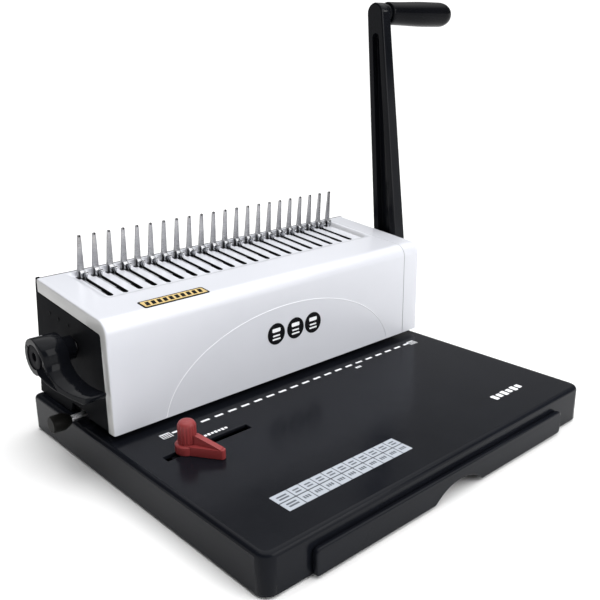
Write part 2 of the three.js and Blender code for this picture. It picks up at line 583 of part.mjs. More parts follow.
function guideCap() {
  const outline = [];
  for (let i = 0; i < 18; i += 1) {
    const a = 2 * Math.PI * i / 18;
    outline.push(...[[7.5, -0.09], [7.5, 0.09], [6.9, 0.13], [6.9, 0.22]].map(([r, d]) => [
      GAUGE.x + r * Math.cos(a + d), GAUGE.y + r * Math.sin(a + d),
    ]));
  }
  const z = BASE.top + 0.4 + 7.5;
  const ribs = alongZ(outline, z, z + 15);
  const dome = [[0, 0], [7.2, 0], [7.2, 14.6], [6.2, 16.6], [4, 17.8], [0, 18.4]];
  const bore = alongZ(circle(GAUGE.x, GAUGE.y, 2.7, 16), z - 1, z + 8.2);
  return ribs.add(turnedZ(dome, GAUGE.x, GAUGE.y, z, 24)).subtract(bore);
}

place('base_tray', baseTray(), 'tray');
place('base_bottom_plate', bottomPlate(), 'dark');
place('foot_front_left', foot(false, false), 'rubber');
place('foot_front_right', foot(true, false), 'rubber');
place('foot_rear_left', foot(false, true), 'rubber');
place('foot_rear_right', foot(true, true), 'rubber');
place('drawer_bin', drawerBin(), 'dark');
place('drawer_front', drawerFront(), 'tray');
place('drawer_rail_left', drawerRail(RAIL.left), 'dark');
place('drawer_rail_right', drawerRail(RAIL.right), 'dark');
place('lower_die', lowerDie(), 'steel');
place('punch_guide', punchGuide(), 'steel');
place('punch_bar', punchBar(), 'steel');
place('punch_shaft', punchShaft(), 'steel');
place('punch_cam_left', punchCam(CAM.left), 'steel');
place('punch_cam_right', punchCam(CAM.right), 'steel');
place('return_spring_left', returnSpring(SPRING.left), 'steel');
place('return_spring_right', returnSpring(SPRING.right), 'steel');
place('side_frame_left', sideFrame(FRAME.left), 'steel');
place('side_frame_right', sideFrame(FRAME.right), 'steel');
place('margin_shaft', marginShaft(), 'nickel');
place('depth_stop_bar', depthStop(), 'steel');
place('margin_knob', marginKnob(), 'knob');
place('top_cover', topCover(), 'shell');
place('right_end_cap', rightEndCap(), 'shell');
place('left_end_cover', leftEndCover(), 'dark');
place('rear_cover', rearCover(), 'dark');
place('finger_comb', fingerComb(), 'nickel');
place('hook_comb', hookComb(), 'nickel');
place('rack_arm_left', rackArm(GEAR.left, 1), 'steel');
place('rack_arm_right', rackArm(GEAR.right, -1), 'steel');
place('pinion_left', pinion(GEAR.left), 'steel');
place('pinion_right', pinion(GEAR.right), 'steel');
place('opener_shaft', openerShaft(), 'steel');
place('comb_lever', combLever(), 'dark');
place('lever_screw', leverScrew(), 'dark');
place('handle_arm', handleArm(), 'dark');
place('grip_spindle', gripSpindle(), 'dark');
place('handle_grip', handleGrip(), 'dark');
place('guide_slider', guideSlider(), 'dark');
place('guide_arm', guideArm(), 'red');
place('guide_cap', guideCap(), 'red');

export default group;
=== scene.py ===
"""Looks of the comb binding machine: white shell, black tray and levers, nickel finger row."""
import math

import bmesh
import bpy
from mathutils import Matrix, Vector


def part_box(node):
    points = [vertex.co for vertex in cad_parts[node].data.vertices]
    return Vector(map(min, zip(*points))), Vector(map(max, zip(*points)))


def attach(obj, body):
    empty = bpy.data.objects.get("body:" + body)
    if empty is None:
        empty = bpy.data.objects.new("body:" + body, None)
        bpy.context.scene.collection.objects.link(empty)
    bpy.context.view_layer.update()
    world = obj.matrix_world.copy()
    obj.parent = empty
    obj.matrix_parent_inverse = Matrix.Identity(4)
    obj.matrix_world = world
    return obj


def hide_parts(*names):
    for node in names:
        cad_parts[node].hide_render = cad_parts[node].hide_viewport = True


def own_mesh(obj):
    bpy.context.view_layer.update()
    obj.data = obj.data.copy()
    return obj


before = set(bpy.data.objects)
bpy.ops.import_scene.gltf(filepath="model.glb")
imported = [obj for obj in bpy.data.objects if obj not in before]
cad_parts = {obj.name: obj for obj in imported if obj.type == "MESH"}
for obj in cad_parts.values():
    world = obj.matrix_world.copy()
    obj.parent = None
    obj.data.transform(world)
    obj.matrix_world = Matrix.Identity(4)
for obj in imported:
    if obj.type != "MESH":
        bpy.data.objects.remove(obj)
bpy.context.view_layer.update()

# ---- working axes: X along the finger row from the first finger, Y to the back, Z up from the base's
# edge, in millimetres; on the deck, s runs up the slope from its rear line and n stands square to it ----
MM = 0.001
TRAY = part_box("base_tray")
BASE_FRONT = 157.8  # from the working origin to the tray's front face
ORIGIN = Vector((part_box("lower_die")[0].x, TRAY[0].y + BASE_FRONT * MM, TRAY[0].z))

PITCH = 14.2875  # from finger to finger
HOLES = 21
TILT = math.atan(0.1)  # slope of the deck
DECK = (150.0, 143.2)  # a point of the deck line, (Y, Z)
SHELL = {"x0": -37.3, "x1": 307.6, "y0": 36.4, "y1": 152.0, "z0": 37.4, "r": 12.0, "wall": 3.0}
RIM = {"front": 9.5, "top": 12.0, "deep": 6.0}
CAP = {"x0": 307.9, "x1": 332.4, "r": 5.0}
RECESS = {"deep": 4.4, "x0": -8.0, "x1": 304.5, "rear": -2.4, "front": -70.5}
RECESS_LEAD = {"left": 5, "right": 3.5, "rear": 1.8}  # how far outside its line a side starts to sink
RECESS_SLOPE = {"left": 11, "right": 4.5, "rear": 2.6, "front": 13}  # how wide each side slopes
DECK_START = {"y": 60, "z": 110}  # the part of the shell beyond this can be sunk
SLOT = {"s0": -57.0, "s1": -7.6, "w": 5.4, "dx": 1.25}
FOOT_HOLE = {"half": 4.4, "s0": -9.0, "s1": -4.1}
DECK_CUT = (-14, 6)  # cutters reach from under the deck to over it
FINGER_S = -5.365
TRAY_TOP = 32.1
PRINT_THICK = 0.06  # print on the tray

FLAT_AREA = 8e-4  # larger faces are shaded flat, square metres
SHARP = 32  # edges bent more than this many degrees stay sharp
SHARP_SOFTENED = 40  # the same after an edge has been rounded
MERGE = 1e-6  # points nearer than this are one, metres
SAME_PLANE = math.radians(0.6)


def at(x, y, z):
    """A point given on the working axes, in the frame."""
    return ORIGIN + Vector((x, y, z)) * MM


def deck_z(y):
    """Height of the deck over y."""
    return DECK[1] + math.tan(TILT) * (y - DECK[0])


def on_deck(x, s, n):
    """A point given on the deck."""
    y = DECK[0] + s * math.cos(TILT) - n * math.sin(TILT)
    return at(x, y, DECK[1] + s * math.sin(TILT) + n * math.cos(TILT))


def smooth(t):
    """An even rise from 0 to 1."""
    t = min(max(t, 0.0), 1.0)
    return t * t * (3 - 2 * t)


def standing(x, n, s):
    """For plates that stand across the deck."""
    return on_deck(x, s, n)


def sideways(s, n, x):
    """For strips bent in the deck's length section."""
    return on_deck(x, s, n)


# ---- mesh helpers ----
def arc(cx, cy, r, a0, a1, n):
    """Points along an arc, n steps long."""
    return [(cx + r * math.cos(a0 + (a1 - a0) * i / n), cy + r * math.sin(a0 + (a1 - a0) * i / n))
            for i in range(n + 1)]


def oblong(a0, a1, b0, b1):
    """The four corners of a rectangle."""
    return [(a0, b0), (a1, b0), (a1, b1), (a0, b1)]


def mark_sharp(bm, degrees):
    """Small faces are shaded smooth and edges bent by more than the given angle are sharp."""
    limit = math.radians(degrees)
    for face in bm.faces:
        face.smooth = len(face.verts) <= 4 and face.calc_area() < FLAT_AREA
    for edge in bm.edges:
        edge.smooth = not (len(edge.link_faces) != 2 or edge.calc_face_angle(0) > limit)


def to_object(name, bm, sharp=SHARP):
    """Turns a bmesh into an object in the scene."""
    bm.normal_update()
    mark_sharp(bm, sharp)
    mesh = bpy.data.meshes.new(name)
    bm.to_mesh(mesh)
    bm.free()
    obj = bpy.data.objects.new(name, mesh)
    bpy.context.scene.collection.objects.link(obj)
    return obj


def apply_modifiers(obj, sharp=SHARP):
    """Makes an object's modifiers final."""
    depsgraph = bpy.context.evaluated_depsgraph_get()
    bm = bmesh.new()
    bm.from_object(obj, depsgraph)
    obj.modifiers.clear()
    bm.normal_update()
    mark_sharp(bm, sharp)
    bmesh.ops.triangulate(bm, faces=[face for face in bm.faces if len(face.verts) > 4])
    bm.to_mesh(obj.data)
    bm.free()
    obj.data.update()


def soften(obj, width, segments=3, degrees=SHARP):
    """Rounds an object's sharp edges; width in millimetres."""
    mod = obj.modifiers.new("edges", "BEVEL")
    mod.width = width * MM
    mod.segments = segments
    mod.limit_method = "ANGLE"
    mod.angle_limit = math.radians(degrees)
    bpy.context.view_layer.update()
    apply_modifiers(obj, SHARP_SOFTENED)
    return obj


def skin(bm, loops):
    """Faces between each loop of points and the next."""
    count = len(loops[0])
    for a, b in zip(loops, loops[1:]):
        for i in range(count):
            j = (i + 1) % count
            bm.faces.new((a[i], a[j], b[j], b[i]))


def prism(name, rings):
    """A solid through rings of points, each ring the same number of points."""
    bm = bmesh.new()
    loops = [[bm.verts.new(p) for p in ring] for ring in rings]
    skin(bm, loops)
    bm.faces.new(list(reversed(loops[0])))
    bm.faces.new(loops[-1])
    bmesh.ops.recalc_face_normals(bm, faces=bm.faces)
    return to_object(name, bm)


def slab(name, outline, low, high, place):
    """An outline pushed from low to high; place turns (a, b, height) into a point."""
    return prism(name, [[place(a, b, h) for a, b in outline] for h in (low, high)])


def turned(name, profile, place, n=48):
    """A profile of (radius, distance) turned round an axis; place turns (u, v, distance) into a point."""
    bm = bmesh.new()
    rows = []
    for r, d in profile:
        if r < MERGE:
            rows.append([bm.verts.new(place(0, 0, d))])
            continue
        angles = [2 * math.pi * i / n for i in range(n)]
        rows.append([bm.verts.new(place(r * math.cos(a), r * math.sin(a), d)) for a in angles])
    for a, b in zip(rows, rows[1:]):
        for i in range(n):
            j = (i + 1) % n
            quad = [a[i % len(a)], a[j % len(a)], b[j % len(b)], b[i % len(b)]]
            corners = [v for k, v in enumerate(quad) if v is not quad[k - 1]]
            if len(corners) > 2:
                bm.faces.new(corners)
    bmesh.ops.recalc_face_normals(bm, faces=bm.faces)
    return to_object(name, bm)


def refined(name, node, width, segments=3, sharp=SHARP):
    """The node's own shape with clean faces and rounded edges."""
    bm = bmesh.new()
    bm.from_mesh(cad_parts[node].data)
    bmesh.ops.remove_doubles(bm, verts=bm.verts, dist=MERGE)
    bmesh.ops.dissolve_limit(bm, angle_limit=SAME_PLANE, verts=bm.verts, edges=bm.edges)
    bmesh.ops.recalc_face_normals(bm, faces=bm.faces)
    obj = to_object(name, bm, sharp)
    if width > 0:
        soften(obj, width, segments, sharp)
    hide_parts(node)
    return obj


def cut_away(obj, cutters):
    """Takes the cutters out of obj and deletes them."""
    for cutter in cutters:
        mod = obj.modifiers.new("cut", "BOOLEAN")
        mod.operation = "DIFFERENCE"
        mod.solver = "EXACT"
        mod.object = cutter
    bpy.context.view_layer.update()
    apply_modifiers(obj)
    for cutter in cutters:
        bpy.data.objects.remove(cutter, do_unlink=True)


def joined(name, objects):
    """One object made of several, which are deleted."""
    bm = bmesh.new()
    for obj in objects:
        bm.from_mesh(obj.data)
    for obj in objects:
        bpy.data.objects.remove(obj, do_unlink=True)
    return to_object(name, bm)


def finish_piece(obj, material, body):
    """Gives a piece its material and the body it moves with."""
    obj.data.materials.clear()
    obj.data.materials.append(material)
    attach(obj, body)
    return obj


# ---- materials ----
class Graph:
    """A few short calls for building a material's nodes."""

    def __init__(self, name):
        self.mat = bpy.data.materials.new(name)
        self.mat.use_nodes = True
        self.nodes = self.mat.node_tree.nodes
        self.links = self.mat.node_tree.links
        self.shader = self.nodes["Principled BSDF"]
        self.coords = self.nodes.new("ShaderNodeTexCoord").outputs["Object"]

    def link(self, a, b):
        self.links.new(a, b)

    def mapped(self, scale):
        """Object coordinates, scaled."""
        node = self.nodes.new("ShaderNodeMapping")
        node.inputs["Scale"].default_value = scale
        self.link(self.coords, node.inputs["Vector"])
        return node.outputs["Vector"]

    def noise(self, scale, detail=3.0, rough=0.5, stretch=(1, 1, 1)):
        """Soft noise from 0 to 1."""
        node = self.nodes.new("ShaderNodeTexNoise")
        node.inputs["Scale"].default_value = scale
        node.inputs["Detail"].default_value = detail
        node.inputs["Roughness"].default_value = rough
        self.link(self.mapped(stretch), node.inputs["Vector"])
        return node.outputs["Fac"]

    def cells(self, scale):
        """Distance to the nearest of many scattered points."""
        node = self.nodes.new("ShaderNodeTexVoronoi")
        node.inputs["Scale"].default_value = scale
        self.link(self.mapped((1, 1, 1)), node.inputs["Vector"])
        return node.outputs["Distance"]

    def left_shade_mask(self):
        """1 where the surface faces left, 0 where it doesn't: the mask for painted shade on left-facing
        faces.
        """
        split = self.nodes.new("ShaderNodeSeparateXYZ")
        self.link(self.nodes.new("ShaderNodeTexCoord").outputs["Normal"], split.inputs[0])
        return self.ranged(split.outputs["X"], -0.55, -1.0, 0, 1)

    def ranged(self, value, low, high, to_low, to_high):
        """Value stretched from one range to another, and kept inside it."""
        node = self.nodes.new("ShaderNodeMapRange")
        self.link(value, node.inputs["Value"])
        node.inputs["From Min"].default_value = low
        node.inputs["From Max"].default_value = high
        node.inputs["To Min"].default_value = to_low
        node.inputs["To Max"].default_value = to_high
        return node.outputs["Result"]

    def blended(self, fac, a, b):
        """From a to b as fac goes from 0 to 1; each is a colour or a socket."""
        node = self.nodes.new("ShaderNodeMix")
        node.data_type = "RGBA"
        self.link(fac, node.inputs["Factor"])
        for socket, colour in ((node.inputs["A"], a), (node.inputs["B"], b)):
            if isinstance(colour, tuple):
                socket.default_value = (*colour, 1)
            else:
                self.link(colour, socket)
        return node.outputs["Result"]

    def bumped(self, layers):
        """Stacked bump nodes from (height, strength, distance in mm)."""
        normal = None
        for height, strength, distance in layers:
            node = self.nodes.new("ShaderNodeBump")
            node.inputs["Strength"].default_value = strength
            node.inputs["Distance"].default_value = distance * MM
            self.link(height, node.inputs["Height"])
            if normal:
                self.link(normal, node.inputs["Normal"])
            normal = node.outputs["Normal"]
        self.link(normal, self.shader.inputs["Normal"])

    def set(self, **values):
        for key, value in values.items():
            self.shader.inputs[key.replace("_", " ")].default_value = value


def moulded(name, colour, pale, rough, grain_scale, grain, gloss=0.5, dust=0.25):
    """Moulded plastic from colour to pale: fine grain, uneven gloss, faint dust and handling marks."""
    g = Graph(name)
    large = g.noise(14, 3)
    marks = g.noise(60, 6, 0.7, (1, 1, 0.35))
    specks = g.ranged(g.noise(900, 2, 0.4), 0.68, 0.78, 0, dust)
    tone = g.blended(g.ranged(large, 0.3, 0.7, 0, 1), colour, pale)
    dusty = tuple(min(1, c * 2.0 + 0.01) for c in pale)
    g.link(g.blended(specks, tone, dusty), g.shader.inputs["Base Color"])
    g.link(g.ranged(marks, 0.3, 0.75, rough * 0.82, rough * 1.25), g.shader.inputs["Roughness"])
    g.bumped([(g.noise(grain_scale, 2, 0.6), grain, 0.05), (g.cells(grain_scale * 0.7), grain * 0.5, 0.03)])
    g.set(IOR=1.5, Specular_IOR_Level=gloss)
    return g.mat


def shell_white(name):
    """Glossy cool white plastic with a faint haze, slightly wavy, with painted shade on faces turned to the
    left: a darker, slightly warmer grey.
    """
    g = Graph(name)
    haze = g.noise(24, 2)
    tone = g.blended(g.ranged(haze, 0.3, 0.7, 0, 1), (0.592, 0.604, 0.648), (0.602, 0.613, 0.657))
    # painted shade: faces turned to the left get a darker, slightly warmer grey in place of the dimmer light
    # on that side
    tone = g.blended(g.left_shade_mask(), tone, (0.42, 0.42, 0.415))
    g.link(tone, g.shader.inputs["Base Color"])
    g.bumped([(g.noise(60, 2), 0.02, 0.05)])
    g.set(Roughness=0.27, IOR=1.49, Coat_Weight=0.12, Coat_Roughness=0.16)
    return g.mat


def plated(name, colour, dark, rough, stretch=(1, 1, 14), scratch=0.25):
    """Plated or brushed metal: long fine scratches, cloudy tone, duller patches."""
    g = Graph(name)
    cloud = g.noise(90, 4)
    lines = g.noise(160, 6, 0.7, stretch)
    tone = g.blended(g.ranged(cloud, 0.3, 0.75, 0, 1), colour, dark)
    g.link(tone, g.shader.inputs["Base Color"])
    g.link(g.ranged(lines, 0.3, 0.75, rough * 0.7, rough * 1.5), g.shader.inputs["Roughness"])
    g.bumped([(lines, scratch, 0.03), (g.noise(1500, 2), scratch * 0.6, 0.02)])
    g.set(Metallic=1.0)
    return g.mat


def ink(name, colour, rough, worn, gloss=0.15):
    """Printed ink or a sticker: slightly uneven cover with tiny misses."""
    g = Graph(name)
    misses = g.ranged(g.noise(1400, 3, 0.6), 0.64, 0.74, 0, 0.5)
    shade = g.ranged(g.noise(60, 3), 0.3, 0.7, 0, 0.25)
    base = g.blended(shade, colour, worn)
    g.link(g.blended(misses, base, worn), g.shader.inputs["Base Color"])
    g.link(g.ranged(g.noise(300, 3), 0.3, 0.7, rough * 0.85, rough * 1.2), g.shader.inputs["Roughness"])
    g.bumped([(g.noise(2200, 2), 0.15, 0.02)])
    g.set(Specular_IOR_Level=gloss)
    return g.mat


def rubber(name):
    """Matt black rubber with dust in it."""
    g = Graph(name)
    dust = g.ranged(g.noise(500, 4, 0.7), 0.5, 0.75, 0, 0.5)
    g.link(g.blended(dust, (0.012, 0.012, 0.012), (0.05, 0.048, 0.045)), g.shader.inputs["Base Color"])
    g.link(g.ranged(g.noise(200, 3), 0.3, 0.7, 0.7, 0.95), g.shader.inputs["Roughness"])
    g.bumped([(g.noise(1600, 3), 0.4, 0.06)])
    return g.mat


WHITE = shell_white("shell_white")
TRAY_BLACK = moulded("tray_black", (0.0048, 0.0055, 0.0078), (0.0066, 0.0075, 0.0105),
                     rough=0.2, grain_scale=2600, grain=0.05, gloss=0.075, dust=0.03)
SIDE_BLACK = moulded("side_black", (0.006, 0.0064, 0.0080), (0.009, 0.0095, 0.012),
                     rough=0.36, grain_scale=2200, grain=0.3, gloss=0.14)
COVER_BLACK = moulded("cover_black", (0.0068, 0.0072, 0.0084), (0.0092, 0.0096, 0.011),
                      rough=0.4, grain_scale=2200, grain=0.15, gloss=0.006, dust=0.03)
LEVER_BLACK = moulded("lever_black", (0.0040, 0.0045, 0.006), (0.006, 0.0065, 0.0084),
                      rough=0.09, grain_scale=1800, grain=0.015, gloss=0.085, dust=0.03)
DISC_GREY = moulded("disc_grey", (0.010, 0.010, 0.0118), (0.013, 0.013, 0.0148),
                    rough=0.45, grain_scale=1800, grain=0.2, gloss=0.02, dust=0.05)
GRIP_BLACK = moulded("grip_black", (0.0028, 0.0030, 0.0040), (0.0042, 0.0044, 0.0056),
                     rough=0.14, grain_scale=1500, grain=0.02, gloss=0.04, dust=0.03)
KNOB_BROWN = moulded("knob_brown", (0.0060, 0.0059, 0.0054), (0.0085, 0.0083, 0.0076),
                     rough=0.4, grain_scale=2000, grain=0.2, gloss=0.05, dust=0.05)
RED = moulded("guide_red", (0.205, 0.028, 0.029), (0.245, 0.038, 0.039),
              rough=0.34, grain_scale=1900, grain=0.12, gloss=0.22, dust=0.06)
LINING = moulded("slot_black", (0.003, 0.003, 0.0035), (0.005, 0.005, 0.0055),
                 rough=0.7, grain_scale=1500, grain=0.2, gloss=0.15, dust=0.1)
NICKEL = plated("nickel", (0.38, 0.38, 0.39), (0.27, 0.27, 0.28),
                rough=0.3, stretch=(1, 1, 14), scratch=0.12)
HOOK_STEEL = plated("hook_steel", (0.52, 0.525, 0.54), (0.30, 0.305, 0.32),
                    rough=0.2, stretch=(1, 1, 14), scratch=0.12)
TIP_STEEL = plated("tip_steel", (0.035, 0.035, 0.037), (0.02, 0.02, 0.021), rough=0.45)
ZINC = plated("zinc", (0.44, 0.45, 0.46), (0.30, 0.305, 0.31), rough=0.34, stretch=(14, 1, 1))
PLATE_STEEL = plated("plate_steel", (0.10, 0.10, 0.105), (0.06, 0.06, 0.064),
                     rough=0.42, stretch=(14, 1, 1))
SPRING_STEEL = plated("spring_steel", (0.36, 0.36, 0.37), (0.26, 0.26, 0.27), rough=0.3, stretch=(1, 1, 1))
GOLD = plated("gold_foil", (0.84, 0.66, 0.32), (0.72, 0.54, 0.23),
              rough=0.45, stretch=(10, 1, 1), scratch=0.1)
SLOT_METAL = plated("slot_metal", (0.42, 0.43, 0.45), (0.32, 0.33, 0.35),
                    rough=0.5, stretch=(14, 1, 1), scratch=0.1)
PRINT_WHITE = ink("print_white", (0.86, 0.87, 0.89), rough=0.45, worn=(0.6, 0.6, 0.63))
PRINT_BLACK = ink("print_black", (0.004, 0.004, 0.005), rough=0.4, worn=(0.012, 0.012, 0.014), gloss=0.04)
STICKER = ink("sticker_white", (0.40, 0.43, 0.475), rough=0.45, worn=(0.36, 0.385, 0.42), gloss=0.08)
STICKER_GREY = ink("sticker_grey", (0.03, 0.034, 0.042), rough=0.5, worn=(0.08, 0.085, 0.10))
STICKER_PALE = ink("sticker_pale", (0.085, 0.095, 0.11), rough=0.5, worn=(0.15, 0.16, 0.18))
BEAD = ink("arc_line", (0.80, 0.81, 0.85), rough=0.2, worn=(0.72, 0.73, 0.77))
RUBBER = rubber("foot_rubber")


# ---- white shell ----
def recess_depth(x, s):
    """How far the deck is sunk at a place: steep at the back, easy at the front and the left."""
    left = smooth((x - (RECESS["x0"] - RECESS_LEAD["left"])) / RECESS_SLOPE["left"])
    right = 1 - smooth((x - (RECESS["x1"] - RECESS_LEAD["right"])) / RECESS_SLOPE["right"])
    back = 1 - smooth((s - (RECESS["rear"] - RECESS_LEAD["rear"])) / RECESS_SLOPE["rear"])
    front = smooth((s - RECESS["front"]) / RECESS_SLOPE["front"])
    return RECESS["deep"] * (left * right) * back * front


def side_profile(front, top, r):
    """The housing's outline, front foot to rear edge, pulled in by front and top; (Y, Z) points."""
    y0 = SHELL["y0"] + front
    y1 = SHELL["y1"]
    face_steps, bend_steps, deck_steps = 6, 12, 60

    def deck(y):
        return deck_z(y) - top / math.cos(TILT)

    spread = (math.pi / 2 - TILT) / 2
    reach = r / math.tan(math.pi / 2 - spread)
    corner = (y0, deck(y0))
    centre = (y0 + r, corner[1] - reach)
    low = SHELL["z0"]
    points = [(y0, low + (centre[1] - low) * i / face_steps) for i in range(face_steps)]
    points += arc(centre[0], centre[1], r, math.pi, math.pi / 2 + TILT, bend_steps)
    start = points[-1][0]
    for i in range(1, deck_steps + 1):
        y = start + (y1 - start) * i / deck_steps
        points.append((y, deck(y)))
    return points


def sunk(x, y, z):
    """A point of the shell, lowered where the deck is sunk."""
    s = (y - DECK[0]) / math.cos(TILT)
    n = recess_depth(x, s) if z > DECK_START["z"] and y > DECK_START["y"] else 0
    return at(x, y + n * math.sin(TILT), z - n * math.cos(TILT))


def shell_ring(x, outer, inner, place=sunk):
    """One closed section of the shell at x: outside there, inside back."""
    return [place(x, y, z) for y, z in outer + inner[::-1]]


def slot_outline(x, half, rear):
    """A slot, open at the rear: left side, round front end, right side."""
    middle = x + SLOT["dx"]
    front = arc(middle, SLOT["s0"] + SLOT["w"] / 2, half, math.pi, 2 * math.pi, 10)
    return [(middle - half, rear)] + front + [(middle + half, rear)]


def slot_cutters():
    """Cutters for the deck slots and for the holes round the finger feet."""
    slots = [slab(f"cut_slot_{i}", slot_outline(i * PITCH, SLOT["w"] / 2, SLOT["s1"]), *DECK_CUT, on_deck)
             for i in range(HOLES)]
    holes = []
    for i in range(HOLES + 1):
        x = i * PITCH
        hole = oblong(x - FOOT_HOLE["half"], x + FOOT_HOLE["half"], FOOT_HOLE["s0"], FOOT_HOLE["s1"])
        holes.append(slab(f"cut_finger_{i}", hole, *DECK_CUT, on_deck))
    return slots, holes


def slot_linings():
    """Thin black walls inside the deck slots and round the finger feet."""
    low, high, thick, bite, rear = -7.4, -4.46, 0.42, 0.02, FOOT_HOLE["s0"]
    made = []
    for i in range(HOLES):
        outer = slot_outline(i * PITCH, SLOT["w"] / 2 + bite, rear)
        inner = slot_outline(i * PITCH, SLOT["w"] / 2 - thick, rear)
        made.append(slab(f"lining_{i}", outer + inner[::-1], low, high, on_deck))
    for i in range(HOLES + 1):
        x = i * PITCH
        loops = []
        for t in (-bite, thick):
            a, b, back = x - FOOT_HOLE["half"] + t, x + FOOT_HOLE["half"] - t, FOOT_HOLE["s1"] - t
            loops.append([(a, rear), (a, back), (b, back), (b, rear)])
        made.append(slab(f"foot_lining_{i}", loops[0] + loops[1][::-1], low, high, on_deck))
    finish_piece(joined("slot_linings", made), LINING, "base")


def slot_rails():
    """A bare metal strip down the left of each slot, seen through its rear part."""
    inset, wide, front, rear, low, high = 0.45, 1.5, -41, -12, -7.2, -4.75
    left = SLOT["dx"] - SLOT["w"] / 2 + inset
    made = []
    for i in range(HOLES):
        x = i * PITCH + left
        made.append(slab(f"rail_{i}", oblong(x, x + wide, front, rear), low, high, on_deck))
    finish_piece(joined("slot_rails", made), SLOT_METAL, "base")


def white_shell():
    """The housing's one-piece shell: an open left mouth with a rim, thin walls and the sunk, slotted deck."""
    r = SHELL["r"]
    x0, x1 = SHELL["x0"], SHELL["x1"]
    edge, mouth_edge, mouth_r, end_edge, lead = 1.6, 0.6, 3, 0.3, 1
    edge_steps, steps = 5, 230
    mouth = side_profile(RIM["front"], RIM["top"], mouth_r)
    inside = side_profile(SHELL["wall"], SHELL["wall"], r - SHELL["wall"])
    full = side_profile(0, 0, r)
    rings = []
    for k in range(edge_steps + 1):
        a = math.pi / 2 * k / edge_steps
        pull = edge * (1 - math.sin(a))
        open_more = mouth_edge * (1 - math.sin(a))
        outer = side_profile(pull, pull, r - pull)
        near = side_profile(RIM["front"] - open_more, RIM["top"] - open_more, mouth_r)
        rings.append(shell_ring(x0 + edge * (1 - math.cos(a)), outer, near, at))
    rings.append(shell_ring(x0 + RIM["deep"], full, mouth, at))
    rings.append(shell_ring(x0 + RIM["deep"] + 0.05, full, inside, at))
    span = x1 - end_edge - x0 - RIM["deep"] - lead
    for k in range(steps + 1):
        rings.append(shell_ring(x0 + RIM["deep"] + lead + span * k / steps, full, inside))
    rings.append(shell_ring(x1, side_profile(end_edge, end_edge, r - end_edge), inside))
    bm = bmesh.new()
    loops = [[bm.verts.new(p) for p in ring] for ring in rings]
    skin(bm, loops)
    count = len(loops[0])
    for loop, flip in ((loops[0], False), (loops[-1], True)):
        for i in range(count // 2 - 1):
            quad = (loop[i], loop[count - 1 - i], loop[count - 2 - i], loop[i + 1])
            bm.faces.new(tuple(reversed(quad)) if flip else quad)
    bmesh.ops.recalc_face_normals(bm, faces=bm.faces)
    obj = to_object("white_shell", bm)
    slots, holes = slot_cutters()
    cut_away(obj, [joined("cut_slots", slots), joined("cut_holes", holes)])
    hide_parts("top_cover")
    finish_piece(obj, WHITE, "base")


def end_cap():
    """The solid white cap at the right end, round at its outer edge."""
    r, edge, least_r, edge_steps = CAP["r"], 0.3, 4, 8
    rings = [(edge, CAP["x0"]), (0, CAP["x0"] + edge), (0, CAP["x1"] - r)]
    for k in range(1, edge_steps + 1):
        a = math.pi / 2 * k / edge_steps
        rings.append((r * (1 - math.cos(a)), CAP["x1"] - r + r * math.sin(a)))
    loops = []
    for pull, x in rings:
        rear = SHELL["y1"] - pull
        outline = side_profile(pull, pull, max(SHELL["r"] - pull, least_r))
        outline = [(min(y, rear), z) for y, z in outline]
        outline.append((rear, SHELL["z0"] + 0.01))
        loops.append([at(x, y, z) for y, z in outline])
    obj = prism("end_cap", loops)
    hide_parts("right_end_cap")
    finish_piece(obj, WHITE, "base")


def front_arc():
    """A fine raised line that sweeps over the front of the housing and fades out at the right."""
    x0, z0, rx, rz, low = 147, 30, 136, 76, 38
    steps, turn, fade_steps = 96, 0.955, 14
    points = []
    for k in range(steps + 1):
        a = math.pi - math.pi * k / steps * turn
        points.append((x0 + rx * math.cos(a), z0 + rz * math.sin(a)))
    points = [(x0 - rx, low)] + [p for p in points if p[1] > low]
    section = ((0.6, 0.2), (0.32, -0.2), (0, -0.28), (-0.32, -0.2), (-0.6, 0.2))
    bm = bmesh.new()
    loops = []
    for i, (x, z) in enumerate(points):
        ahead = points[min(i + 1, len(points) - 1)]
        behind = points[max(i - 1, 0)]
        d = Vector((ahead[0] - behind[0], ahead[1] - behind[1])).normalized()
        fade = smooth((len(points) - 1 - i) / fade_steps) * 0.8 + 0.2
        loop = []
        for wide, deep in section:
            w = wide * fade
            loop.append(bm.verts.new(at(x - d.y * w, SHELL["y0"] + deep, z + d.x * w)))
        loops.append(loop)
    for a, b in zip(loops, loops[1:]):
        for i in range(len(section) - 1):
            bm.faces.new((a[i], a[i + 1], b[i + 1], b[i]))
    bmesh.ops.recalc_face_normals(bm, faces=bm.faces)
    finish_piece(to_object("front_arc", bm, 60), BEAD, "base")


# ---- printed marks ----
def on_front(x, z, h):
    """A point of the front face, h out from it."""
    return at(x, SHELL["y0"] - h, z)


def on_tray(x, y, h):
    """A point of the tray's top, h above it."""
    return at(x, y, TRAY_TOP + h)


def bar(cx, cy, w, h, r=None, n=3):
    """The outline of a bar with round corners, w by h about a centre."""
    r = min(w, h) * 0.3 if r is None else r
    out = []
    for sx, sy, a in ((1, 1, 0), (-1, 1, 90), (-1, -1, 180), (1, -1, 270)):
        out += arc(cx + sx * (w / 2 - r), cy + sy * (h / 2 - r), r, math.radians(a), math.radians(a + 90), n)
    return out


def bars(name, outlines, place, thick, material):
    """One printed piece made of several flat shapes of one thickness."""
    made = [slab(f"{name}_{i}", o, 0, thick, place) for i, o in enumerate(outlines)]
    return finish_piece(joined(name, made), material, "base")


def capacity_badges():
    """Three round black badges with blank marks in place of writing."""
    places, height, r, sides = (131.9, 155.2, 177.3), 81, 10.2, 48
    rows = ((84.6, 9.6, 3.6), (79.4, 8.2, 1.5), (76.0, 9.4, 1.5))  # height, width and thickness
    discs = [arc(x, height, r, 0, 2 * math.pi * (sides - 1) / sides, sides - 1) for x in places]
    marks = [bar(x, *row) for x in places for row in rows]
    bars("badge_discs", discs, on_front, 0.22, PRINT_BLACK)
    bars("badge_marks", marks, on_front, 0.32, PRINT_WHITE)


